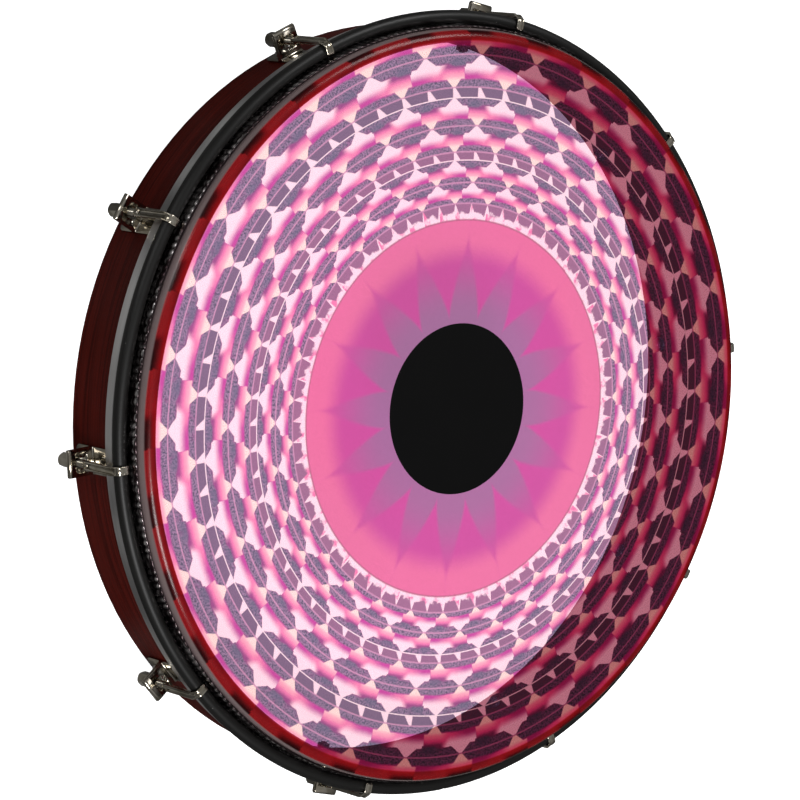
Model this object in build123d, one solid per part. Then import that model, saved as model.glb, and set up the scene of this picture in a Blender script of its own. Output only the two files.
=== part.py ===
from build123d import *
import math
import os

# Tunable bodhran, millimetres. The drum lies on its open rear rim with the head up:
# +Z is the drum's axis, z = 0 is the rear rim, and the first lug points along +Y.

# ---------------------------------------------------------------- driving dimensions
LUGS = 10

SHELL_DIAMETER = 457.0        # outside, the nominal 18 inch size
SHELL_WALL = 7.5
SHELL_DEPTH = 75.0
BEARING_ROUND = 6.0           # outer edge that the film is pulled over
RIM_ROUND = 1.2               # rear edges and the inner front edge
FLAT_LAND = 0.2               # least flat left between two rounded edges of the wall

FILM_THICKNESS = 0.4
FILM_GAP = 0.1                # film to shell
COLLAR_LENGTH = 29.0          # how far the film runs down the shell's outside
DOT_DIAMETER = 104.0
DOT_THICKNESS = 0.25

SLIDE_GAP = 0.3               # between what is fixed to the shell and what is pulled down
CRIMP_WALL = 1.5              # upright wall of the flesh hoop that grips the film
CRIMP_TOP_DROP = 7.6          # from the playing surface down to the crimp's top edge
FOOT_WIDTH = 4.6              # radial width of the flesh hoop's base
FOOT_HEIGHT = 6.1

BAND_THICKNESS = 2.0          # rolled steel counter hoop
BAND_HEIGHT = 14.0
FLANGE_THICKNESS = 2.0        # inward flange that presses on the flesh hoop
FLANGE_GAP = 0.3              # flange to crimp wall and to the cover, band to the base
COVER_DIAMETER = 8.2          # round edge cover that is pushed over the band
COVER_GAP = 0.3               # cover to crimp wall
COVER_DROP = 17.3             # from the playing surface down to the cover's centre
COVER_FIT = 0.05              # slot in the cover, to each side of the band
BAND_IN_COVER = 0.8           # how far the band's edge passes the cover's centre

SHEET = 1.6                   # bracket strip
BRACKET_WIDTH = 16.4
BRACKET_HEIGHT = 18.8         # tab, outward from the shell
REAR_FOOT_START = 6.5         # both are heights above the rear rim
TAB_CENTRE = 22.1
FRONT_FOOT_GAP = 6.2          # front foot's end to the flesh hoop
FOLD_GAP = 0.4                # between the two layers of the folded tab
FOOT_BEND = 2.0               # bend radius to the strip's middle
FOOT_CORNER = 3.5

ROD_OFFSET = 11.0             # tension rod's axis, outward from the shell
ROD_DIAMETER = 5.0
ROD_START = 9.5
ROD_IN_ARM = 4.5              # how far the rod runs up behind the arm's end
ROD_CHAMFER = 0.5
ROD_TOP_ROUND = 2.0           # front end, where the rod runs into the arm
ROD_SLOT_PLAY = 0.7           # rod in the tab's slot
ROD_SLOT_LENGTH = 2.4         # slot's centre distance, towards the shell
THREAD_PLAY = 0.05            # rod in the nut's bore

ARM_WIDTH = 5.2
ARM_WEB = 1.2
ARM_START = 29.0              # height above the rear rim
ARM_ROOT_ROUND = 2.4          # corners at the rod's end
ARM_GAP = 0.3                 # arm to edge cover
ARM_RIB = 1.0                 # thickness of the two side ribs
ARM_RIB_HEIGHT = 1.6
CLAW_BEND = 3.0
CLAW_REACH = 2.0              # inward from the cover's middle
CLAW_TIP_RUN = 1.0            # the last stretch turns down by this run and drop
CLAW_TIP_DROP = 0.6
CLAW_TIP_BEND = 1.2

NUT_FLATS = 8.0
NUT_BOTTOM = 6.5              # end of the hexagon
NUT_DOME_DIAMETER = 6.4
NUT_DOME_HEIGHT = 2.0
NUT_DOME_ROUND = 1.6
NUT_CHAMFER = 0.7
BORE_FLOOR = 6.4              # end of the nut's blind bore
NUT_WASHER_DIAMETER = 10.0
NUT_WASHER_THICKNESS = 1.0
WASHER_PLAY = 0.3
NUT_FACE_GAP = 0.05

SCREW_HEIGHT = 12.8           # mounting screw above the rear rim
SCREW_DIAMETER = 4.0
SCREW_HEAD_DIAMETER = 7.5
SCREW_HEAD_HEIGHT = 2.4
SCREW_HEAD_ROUND = 1.44
SCREW_TAIL = 1.0              # thread that shows past its nut
SCREW_PLAY = 0.2              # shank in the bracket, the shell and the washer
SCREW_THREAD_PLAY = 0.02      # shank in the lock nut's bore
RECESS_DIAMETER = 3.6
RECESS_DEPTH = 1.2
INNER_WASHER_DIAMETER = 9.0
INNER_WASHER_THICKNESS = 0.8
LOCK_NUT_FLATS = 7.0
LOCK_NUT_HEIGHT = 3.2

OVERCUT = 2.0                 # how far a cutter passes the face that it opens
NEAR = 0.01                   # tolerance for picking the edges at a known height

# ---------------------------------------------------------------- derived places
shell_r = SHELL_DIAMETER / 2
inner_r = shell_r - SHELL_WALL
head_z = SHELL_DEPTH + FILM_GAP + FILM_THICKNESS
bearing_round = min(BEARING_ROUND, SHELL_WALL - RIM_ROUND - FLAT_LAND)
film_inner_r = shell_r + FILM_GAP
film_outer_r = film_inner_r + FILM_THICKNESS

crimp_r = film_outer_r + SLIDE_GAP
crimp_outer_r = crimp_r + CRIMP_WALL
crimp_top = head_z - CRIMP_TOP_DROP
foot_outer_r = crimp_r + FOOT_WIDTH

cover_r = COVER_DIAMETER / 2
cover_z = head_z - COVER_DROP
# The band clears the flesh hoop's base, and the cover on it clears the crimp wall.
band_r = max(foot_outer_r + FLANGE_GAP, crimp_outer_r + COVER_GAP + cover_r - BAND_THICKNESS / 2)
band_outer_r = band_r + BAND_THICKNESS
cover_ring_r = (band_r + band_outer_r) / 2
band_top = cover_z + BAND_IN_COVER
band_bottom = band_top - BAND_HEIGHT
flange_bottom = cover_z - cover_r - FLANGE_THICKNESS - FLANGE_GAP
foot_bottom = flange_bottom - FOOT_HEIGHT

# A flat washer on the hollow side of the wall touches it at its rim only.
seat_sag = inner_r - math.sqrt(inner_r ** 2 - (INNER_WASHER_DIAMETER / 2) ** 2)

rod_r = shell_r + ROD_OFFSET
rod_end = ARM_START + ROD_IN_ARM
tab_rear = TAB_CENTRE - FOLD_GAP / 2 - SHEET
half_fold = (SHEET + FOLD_GAP) / 2
front_foot_end = foot_bottom - FRONT_FOOT_GAP
front_flat = front_foot_end - TAB_CENTRE - half_fold - FOOT_BEND
rear_flat = TAB_CENTRE - half_fold - FOOT_BEND - REAR_FOOT_START
foot_corner = min(FOOT_CORNER, front_flat - FLAT_LAND, rear_flat - FLAT_LAND)
arm_r = cover_ring_r + cover_r + ARM_GAP + ARM_WEB / 2
claw_z = cover_z + cover_r + ARM_GAP + ARM_WEB / 2
claw_end_r = cover_ring_r - CLAW_REACH
nut_top = tab_rear - NUT_WASHER_THICKNESS - NUT_FACE_GAP

lug_angles = [90 + 360 / LUGS * i for i in range(LUGS)]
lug_names = [f"{i + 1:02d}" for i in range(LUGS)]


# ---------------------------------------------------------------- helpers
def profile(*points):
    """Closed outline in the plane of radius (x) and height (y)."""
    return Plane.XZ * make_face(Polyline(*points, close=True))


def ring(*points):
    """Solid turned about the drum's axis from an outline of (radius, height) points."""
    return revolve(profile(*points), Axis.Z)


def across(face, width):
    """Thicken an outline to both sides of the lug's middle plane."""
    return extrude(face, amount=width / 2, both=True)


def strip(points, radii, thickness):
    """Bent strip seen from its side: a middle line with rounded corners, given a thickness."""
    return Plane.XZ * trace(FilletPolyline(*points, radius=radii), thickness)


def around(solid):
    """Copies of one lug's solid at all lugs, as a list."""
    return [Rot(0, 0, angle) * solid for angle in lug_angles]


def radial_cylinder(radius, start, end, height):
    """Cylinder along the radius, from one distance off the drum's axis to another."""
    place = Pos((start + end) / 2, 0, height) * Rot(0, 90, 0)
    return place * Cylinder(radius, abs(end - start))


def round_ended(width, bottom, top, corner):
    """Block through the lug's front view: an upright bar with rounded lower corners."""
    outline = Pos(0, (bottom + top) / 2) * Rectangle(width, top - bottom)
    low = [v for v in outline.vertices() if v.Y < bottom + NEAR]
    place = Plane(origin=(shell_r, 0, 0), x_dir=(0, 1, 0), z_dir=(1, 0, 0))
    return extrude(place * fillet(low, corner), amount=BRACKET_HEIGHT)


def upright_cylinder(radius, bottom, top):
    """Cylinder on the tension rod's axis."""
    return Pos(rod_r, 0, (bottom + top) / 2) * Cylinder(radius, top - bottom)


# ---------------------------------------------------------------- shell and head
def make_shell():
    outline = make_face(Polyline((inner_r, 0), (shell_r, 0), (shell_r, SHELL_DEPTH),
                                 (inner_r, SHELL_DEPTH), close=True))
    bearing = [v for v in outline.vertices() if v.X > shell_r - NEAR and v.Y > SHELL_DEPTH - NEAR]
    outline = fillet(bearing, bearing_round)
    sharp = [v for v in outline.vertices() if v.X < inner_r + NEAR or v.Y < NEAR]
    outline = fillet(sharp, RIM_ROUND)
    body = revolve(Plane.XZ * outline, Axis.Z)
    hole = radial_cylinder(SCREW_DIAMETER / 2 + SCREW_PLAY, inner_r - OVERCUT,
                           shell_r + OVERCUT, SCREW_HEIGHT)
    for cutter in around(hole):
        body -= cutter
    return body


def make_film():
    """Playing surface, rounded shoulder and collar of the one-piece film."""
    bottom = head_z - COLLAR_LENGTH
    corner_r = shell_r - bearing_round
    corner_z = SHELL_DEPTH - bearing_round
    inside = bearing_round + FILM_GAP
    outside = inside + FILM_THICKNESS
    outline = [
        Line((0, head_z - FILM_THICKNESS), (corner_r, head_z - FILM_THICKNESS)),
        CenterArc((corner_r, corner_z), inside, 90, -90),
        Line((film_inner_r, corner_z), (film_inner_r, bottom)),
        Line((film_inner_r, bottom), (film_outer_r, bottom)),
        Line((film_outer_r, bottom), (film_outer_r, corner_z)),
        CenterArc((corner_r, corner_z), outside, 0, 90),
        Line((corner_r, head_z), (0, head_z)),
        Line((0, head_z), (0, head_z - FILM_THICKNESS)),
    ]
    return revolve(Plane.XZ * make_face(outline), Axis.Z)


def make_dot():
    return Pos(0, 0, head_z + DOT_THICKNESS / 2) * Cylinder(DOT_DIAMETER / 2, DOT_THICKNESS)


# ---------------------------------------------------------------- tension hoop
def make_flesh_hoop():
    return ring(
        (crimp_r, foot_bottom),
        (foot_outer_r, foot_bottom),
        (foot_outer_r, flange_bottom),
        (crimp_outer_r, flange_bottom),
        (crimp_outer_r, crimp_top),
        (crimp_r, crimp_top),
    )


def make_counter_hoop():
    flange_r = crimp_outer_r + FLANGE_GAP
    flange_top = flange_bottom + FLANGE_THICKNESS
    return ring(
        (band_r, band_bottom),
        (band_outer_r, band_bottom),
        (band_outer_r, band_top),
        (band_r, band_top),
        (band_r, flange_top),
        (flange_r, flange_top),
        (flange_r, flange_bottom),
        (band_r, flange_bottom),
    )


def make_edge_cover():
    tube = Torus(cover_ring_r, cover_r)
    slot = ring(
        (band_r - COVER_FIT, cover_z - COVER_DIAMETER),
        (band_outer_r + COVER_FIT, cover_z - COVER_DIAMETER),
        (band_outer_r + COVER_FIT, band_top + COVER_FIT),
        (band_r - COVER_FIT, band_top + COVER_FIT),
    )
    return Pos(0, 0, cover_z) * tube - slot


# ---------------------------------------------------------------- one lug, pointing along +X
def make_bracket():
    """Strip folded to an upside-down T: rear foot, doubled tab and front foot."""
    middle = shell_r + SHEET / 2
    top = shell_r + BRACKET_HEIGHT - SHEET / 2
    fold_bend = half_fold - NEAR
    line = [
        (middle, REAR_FOOT_START),
        (middle, TAB_CENTRE - half_fold),
        (top, TAB_CENTRE - half_fold),
        (top, TAB_CENTRE + half_fold),
        (middle, TAB_CENTRE + half_fold),
        (middle, front_foot_end),
    ]
    body = across(strip(line, [FOOT_BEND, fold_bend, fold_bend, FOOT_BEND], SHEET), BRACKET_WIDTH)
    corners = [e for e in body.edges().filter_by(Axis.X)
               if e.center().Z < REAR_FOOT_START + NEAR or e.center().Z > front_foot_end - NEAR]
    body = fillet(corners, foot_corner)
    slot_r = ROD_DIAMETER / 2 + ROD_SLOT_PLAY
    slot = Pos(rod_r - ROD_SLOT_LENGTH / 2, 0, TAB_CENTRE) * extrude(
        SlotCenterToCenter(ROD_SLOT_LENGTH, 2 * slot_r), amount=2 * SHEET, both=True)
    screw_hole = radial_cylinder(SCREW_DIAMETER / 2 + SCREW_PLAY, shell_r - OVERCUT,
                                 shell_r + SHEET + OVERCUT, SCREW_HEIGHT)
    return body - slot - screw_hole


def make_hook():
    """Threaded rod with a ribbed arm and a claw over the edge cover."""
    tip = (claw_end_r - CLAW_TIP_RUN / 2, claw_z - CLAW_TIP_DROP)
    line = [(arm_r, ARM_START), (arm_r, claw_z), (claw_end_r + CLAW_TIP_RUN / 2, claw_z), tip]
    arm = across(strip(line, [CLAW_BEND, CLAW_TIP_BEND], ARM_WEB), ARM_WIDTH)
    low = arm_r + ARM_WEB / 2
    high = low + ARM_RIB_HEIGHT
    rib_end = claw_z - CLAW_BEND
    rib = profile(
        (low - ARM_WEB / 2, ARM_START),
        (low, ARM_START),
        (high, ARM_START + 2 * ARM_RIB_HEIGHT),
        (high, rib_end - ARM_RIB_HEIGHT),
        (low, rib_end + ARM_RIB_HEIGHT),
        (low - ARM_WEB / 2, rib_end),
    )
    ribs = across(rib, ARM_WIDTH) - across(rib, ARM_WIDTH - 2 * ARM_RIB)
    arm += ribs
    arm &= round_ended(ARM_WIDTH, ARM_START, claw_z + ARM_WIDTH, ARM_ROOT_ROUND)
    rod = upright_cylinder(ROD_DIAMETER / 2, ROD_START, rod_end)
    ends = rod.edges().filter_by(GeomType.CIRCLE).sort_by(Axis.Z)
    rod = chamfer(ends[0], ROD_CHAMFER)
    rod = fillet(rod.edges().filter_by(GeomType.CIRCLE).sort_by(Axis.Z)[-1], ROD_TOP_ROUND)
    return arm + rod


def make_tension_nut():
    """Long hexagon nut with a blind bore and a domed end."""
    flats = Pos(rod_r, 0, NUT_BOTTOM) * extrude(
        RegularPolygon(NUT_FLATS / 2, 6, major_radius=False), amount=nut_top - NUT_BOTTOM)
    corner_r = NUT_FLATS / math.sqrt(3)
    turned = upright_cylinder(corner_r, NUT_BOTTOM, nut_top)
    turned = chamfer(turned.edges().filter_by(GeomType.CIRCLE), NUT_CHAMFER)
    dome_r = NUT_DOME_DIAMETER / 2
    dome = upright_cylinder(dome_r, NUT_BOTTOM - NUT_DOME_HEIGHT, BORE_FLOOR + OVERCUT)
    dome = fillet(dome.edges().filter_by(GeomType.CIRCLE).sort_by(Axis.Z)[0], NUT_DOME_ROUND)
    bore = upright_cylinder(ROD_DIAMETER / 2 + THREAD_PLAY, BORE_FLOOR, nut_top + OVERCUT)
    return (flats & turned) + dome - bore


def make_nut_washer():
    bottom = tab_rear - NUT_WASHER_THICKNESS
    disc = upright_cylinder(NUT_WASHER_DIAMETER / 2, bottom, tab_rear)
    return disc - upright_cylinder(ROD_DIAMETER / 2 + WASHER_PLAY, bottom - OVERCUT, tab_rear + OVERCUT)


def make_screw():
    """Pan-head screw through the rear foot and the shell."""
    seat = shell_r + SHEET
    tail = inner_r - INNER_WASHER_THICKNESS - LOCK_NUT_HEIGHT - SCREW_TAIL
    head = radial_cylinder(SCREW_HEAD_DIAMETER / 2, seat, seat + SCREW_HEAD_HEIGHT, SCREW_HEIGHT)
    outer_edge = head.edges().filter_by(GeomType.CIRCLE).sort_by(Axis.X)[-1]
    head = fillet(outer_edge, SCREW_HEAD_ROUND)
    recess = radial_cylinder(RECESS_DIAMETER / 2, seat + SCREW_HEAD_HEIGHT - RECESS_DEPTH,
                             seat + SCREW_HEAD_HEIGHT + OVERCUT, SCREW_HEIGHT)
    shank = radial_cylinder(SCREW_DIAMETER / 2, tail, seat, SCREW_HEIGHT)
    return head - recess + shank


def make_inner_washer():
    """Washer against the shell's inside, a little off the curved wall's deepest line."""
    start = inner_r - INNER_WASHER_THICKNESS
    disc = radial_cylinder(INNER_WASHER_DIAMETER / 2, start, inner_r - seat_sag, SCREW_HEIGHT)
    return disc - radial_cylinder(SCREW_DIAMETER / 2 + SCREW_PLAY, start - OVERCUT,
                                  inner_r + OVERCUT, SCREW_HEIGHT)


def make_lock_nut():
    start = inner_r - INNER_WASHER_THICKNESS - LOCK_NUT_HEIGHT
    hexagon = Pos(start, 0, SCREW_HEIGHT) * Rot(0, 90, 0) * extrude(
        RegularPolygon(LOCK_NUT_FLATS / 2, 6, major_radius=False), amount=LOCK_NUT_HEIGHT)
    bore = radial_cylinder(SCREW_DIAMETER / 2 + SCREW_THREAD_PLAY, start - OVERCUT, inner_r, SCREW_HEIGHT)
    return hexagon - bore


# ---------------------------------------------------------------- write one file per node
parts = {
    "shell": make_shell(),
    "head_film": make_film(),
    "head_dot": make_dot(),
    "flesh_hoop": make_flesh_hoop(),
    "counter_hoop": make_counter_hoop(),
    "hoop_edge_cover": make_edge_cover(),
    "nut_washers": Compound(children=around(make_nut_washer())),
    "mounting_screws": Compound(children=around(make_screw())),
    "inner_washers": Compound(children=around(make_inner_washer())),
    "lock_nuts": Compound(children=around(make_lock_nut())),
}
for name, bracket, hook, nut in zip(lug_names, around(make_bracket()), around(make_hook()),
                                    around(make_tension_nut())):
    parts["lug_bracket_" + name] = bracket
    parts["tension_hook_" + name] = hook
    parts["tension_nut_" + name] = nut

os.makedirs("parts", exist_ok=True)
for name, solid in parts.items():
    export_step(solid, f"parts/{name}.step")
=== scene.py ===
import math
import random

import bmesh
import bpy
from mathutils import Matrix, Vector


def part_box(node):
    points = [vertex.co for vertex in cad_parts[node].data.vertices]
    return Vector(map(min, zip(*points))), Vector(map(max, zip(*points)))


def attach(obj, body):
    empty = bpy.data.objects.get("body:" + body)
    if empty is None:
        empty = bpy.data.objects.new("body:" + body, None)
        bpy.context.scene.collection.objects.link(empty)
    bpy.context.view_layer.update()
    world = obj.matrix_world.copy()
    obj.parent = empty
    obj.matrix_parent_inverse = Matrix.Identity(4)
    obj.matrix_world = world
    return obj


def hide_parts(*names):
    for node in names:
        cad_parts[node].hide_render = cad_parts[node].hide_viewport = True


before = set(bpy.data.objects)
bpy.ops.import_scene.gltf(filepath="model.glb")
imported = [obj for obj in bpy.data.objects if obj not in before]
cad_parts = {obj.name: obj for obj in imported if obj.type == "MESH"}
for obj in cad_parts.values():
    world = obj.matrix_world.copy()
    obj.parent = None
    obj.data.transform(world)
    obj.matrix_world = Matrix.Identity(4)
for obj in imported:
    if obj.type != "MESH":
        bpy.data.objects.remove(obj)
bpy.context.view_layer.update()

# Looks of a tunable bodhran. Lengths are in metres, and MM turns millimetres into metres. The radii and
# widths of the printed pattern are in millimetres.
MM = 0.001
LUGS = 10
LUG_NAMES = [f"{i + 1:02d}" for i in range(LUGS)]
LUG_ANGLES = [math.radians(90 + 360 / LUGS * i) for i in range(LUGS)]

# ---------------------------------------------------------------- camera: how the drum stands in the picture
LENS = 185.2                   # mm on a 36 mm sensor
AXIS_TURN = 38.72              # degrees, drum axis turned to the picture's right
AXIS_DROP = 6.82               # degrees, drum axis pointing down
FIRST_LUG_LEAN = 10.9          # degrees, first lug right of the picture's upright
LUG_TURN = 0.5
HEAD_IN_VIEW = Vector((34.55, -5.38, -2483.3)) * MM   # head's centre from the camera

# ---------------------------------------------------------------- places taken from the frame
film_low, film_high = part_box("head_film")
HEAD_Z = film_high.z
FILM_R = film_high.x
COLLAR_Z = film_low.z
_, shell_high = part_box("shell")
SHELL_R = shell_high.x
_, dot_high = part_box("head_dot")
DOT_R = dot_high.x
flesh_low, flesh_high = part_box("flesh_hoop")
band_low, band_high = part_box("counter_hoop")
cover_low, cover_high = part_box("hoop_edge_cover")
bracket_low, bracket_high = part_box("lug_bracket_01")
hook_low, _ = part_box("tension_hook_01")
nut_low, nut_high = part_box("tension_nut_01")
washer_low, washer_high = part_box("nut_washers")


# ================================================================ materials
class Value:
    """A number that a material works out, so that its formula can be written as arithmetic."""

    def __init__(self, graph, socket):
        self.graph = graph
        self.socket = socket

    def __add__(self, other):
        return self.graph.math("ADD", self, other)

    def __radd__(self, other):
        return self.graph.math("ADD", other, self)

    def __sub__(self, other):
        return self.graph.math("SUBTRACT", self, other)

    def __rsub__(self, other):
        return self.graph.math("SUBTRACT", other, self)

    def __mul__(self, other):
        return self.graph.math("MULTIPLY", self, other)

    def __rmul__(self, other):
        return self.graph.math("MULTIPLY", other, self)

    def __truediv__(self, other):
        return self.graph.math("DIVIDE", self, other)


class Graph:
    """A material and short ways to write its nodes."""

    def __init__(self, name):
        self.material = bpy.data.materials.new(name)
        self.material.use_nodes = True
        self.tree = self.material.node_tree
        self.tree.nodes.clear()
        self.output = self.tree.nodes.new("ShaderNodeOutputMaterial")

    def feed(self, socket, value):
        if isinstance(value, Value):
            value = value.socket
        if isinstance(value, bpy.types.NodeSocket):
            self.tree.links.new(value, socket)
        elif isinstance(value, tuple) and len(value) == 3 and len(socket.default_value) == 4:
            socket.default_value = (*value, 1.0)
        else:
            socket.default_value = value

    def node(self, kind, **inputs):
        node = self.tree.nodes.new("ShaderNode" + kind)
        for name, value in inputs.items():
            self.feed(node.inputs[name.replace("_", " ")], value)
        return node

    def math(self, operation, a, b=None):
        node = self.tree.nodes.new("ShaderNodeMath")
        node.operation = operation
        for socket, value in zip(node.inputs, (a, b)):
            if value is not None:
                self.feed(socket, value)
        return Value(self, node.outputs[0])

    def smooth(self, value, low, high):
        """0 below low, 1 above high, with a soft step between."""
        node = self.tree.nodes.new("ShaderNodeMapRange")
        node.interpolation_type = "SMOOTHSTEP"
        self.feed(node.inputs["Value"], value)
        self.feed(node.inputs["From Min"], low)
        self.feed(node.inputs["From Max"], high)
        return Value(self, node.outputs["Result"])

    def minimum(self, a, b):
        return self.math("MINIMUM", a, b)

    def absolute(self, a):
        return self.math("ABSOLUTE", a)

    def fraction(self, a):
        return self.math("FRACT", a)

    def above(self, a, limit):
        return self.math("GREATER_THAN", a, limit)

    def choose(self, switch, if_on, if_off):
        """if_on where switch is 1, if_off where it is 0."""
        return if_off + switch * (if_on - if_off)

    def mix(self, factor, a, b, blend="MIX"):
        node = self.tree.nodes.new("ShaderNodeMix")
        node.data_type = "RGBA"
        node.blend_type = blend
        self.feed(node.inputs[0], factor)
        self.feed(node.inputs[6], a)
        self.feed(node.inputs[7], b)
        return node.outputs[2]

    def place(self):
        """The point's own coordinates, in metres."""
        node = self.tree.nodes.new("ShaderNodeTexCoord")
        parts = self.node("SeparateXYZ", Vector=node.outputs["Object"])
        return [Value(self, parts.outputs[i]) for i in range(3)]

    def vector(self, x, y, z):
        return self.node("CombineXYZ", X=x, Y=y, Z=z).outputs[0]

    def noise(self, vector, scale, detail=2.0, roughness=0.5):
        node = self.node("TexNoise", Vector=vector, Scale=scale, Detail=detail, Roughness=roughness)
        return Value(self, node.outputs["Fac"])

    def bump(self, height, strength, distance):
        return self.node("Bump", Height=height, Strength=strength, Distance=distance).outputs[0]

    def surface(self, shader):
        self.tree.links.new(shader, self.output.inputs["Surface"])
        return self.material


def drum_coordinates(graph):
    """Radius and height in millimetres and the turn round the drum's axis, from -0.5 to 0.5."""
    x, y, z = graph.place()
    radius = graph.math("SQRT", x * x + y * y) / MM
    turn = graph.math("ARCTAN2", y, x) / math.tau
    return radius, turn, z / MM


def along_rim(graph, turn, radius, height, stretch, across):
    """Noise coordinates drawn out round the drum, without a seam where the turn wraps."""
    angle = turn * math.tau
    return graph.vector(graph.math("COSINE", angle) * stretch, graph.math("SINE", angle) * stretch,
                        (height + radius) * across)


# The printed pattern: pairs of petal rows, each pair a fixed ratio larger than the one inside it.
PETALS = 31
PETAL_PHASE = 0.067            # share of a petal from +X to the first tip
FIRST_ROW = 124.4              # mm, middle of the innermost row
PAIR_RATIO = 1.249
SECOND_ROW = 0.4307            # middle of a pair's second row, as a share of the pair
BAND_START = 0.852             # the first row of each pair has a band of half petals inside its middle
DISC_R = 114.5
STAR_POINTS = 16
STAR_PHASE = 9.55 / 22.5
STAR_TIP = 107.0
STAR_ROOT = 55.0
SHOULDER_IN, SHOULDER_OUT = 221.2, 222.6   # mm, where the film starts to turn down; outside it the print is darkened red, painted shade of the shell's edge behind the film
COLLAR_DROP = (2.2, 3.4)                   # mm below the head, from print to grey collar

PETAL_INNER = (0.33, 0.19, 0.33)
PETAL_OUTER = (0.21, 0.145, 0.25)
HALF_PETAL = (0.37, 0.175, 0.32)
SLATE = (0.15, 0.15, 0.25)
PETAL_DARK = (0.11, 0.10, 0.17)
PETAL_LIGHT = (0.50, 0.34, 0.55)
CREAM = (0.99, 0.90, 0.82)
PEACH = (0.96, 0.48, 0.62)
PINK = (0.84, 0.22, 0.50)
PURPLE = (0.36, 0.08, 0.28)
MAGENTA = (0.60, 0.07, 0.40)
SALMON = (0.88, 0.26, 0.52)
PALE = (1.0, 0.90, 0.97)
LINE = (0.66, 0.36, 0.56)
WHITE_LINE = (0.93, 0.88, 0.92)
DISC_EDGE = (0.79, 0.19, 0.41)
DISC_MAGENTA = (0.60, 0.085, 0.38)
DISC_GREY = (0.33, 0.19, 0.37)
OUTLINE = (0.45, 0.14, 0.24)
COLLAR_GREY = (0.15, 0.11, 0.11)
PRINT_CLEAR = 0.62             # share of light that passes through the printed film
COLLAR_CLEAR = 0.08


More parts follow.
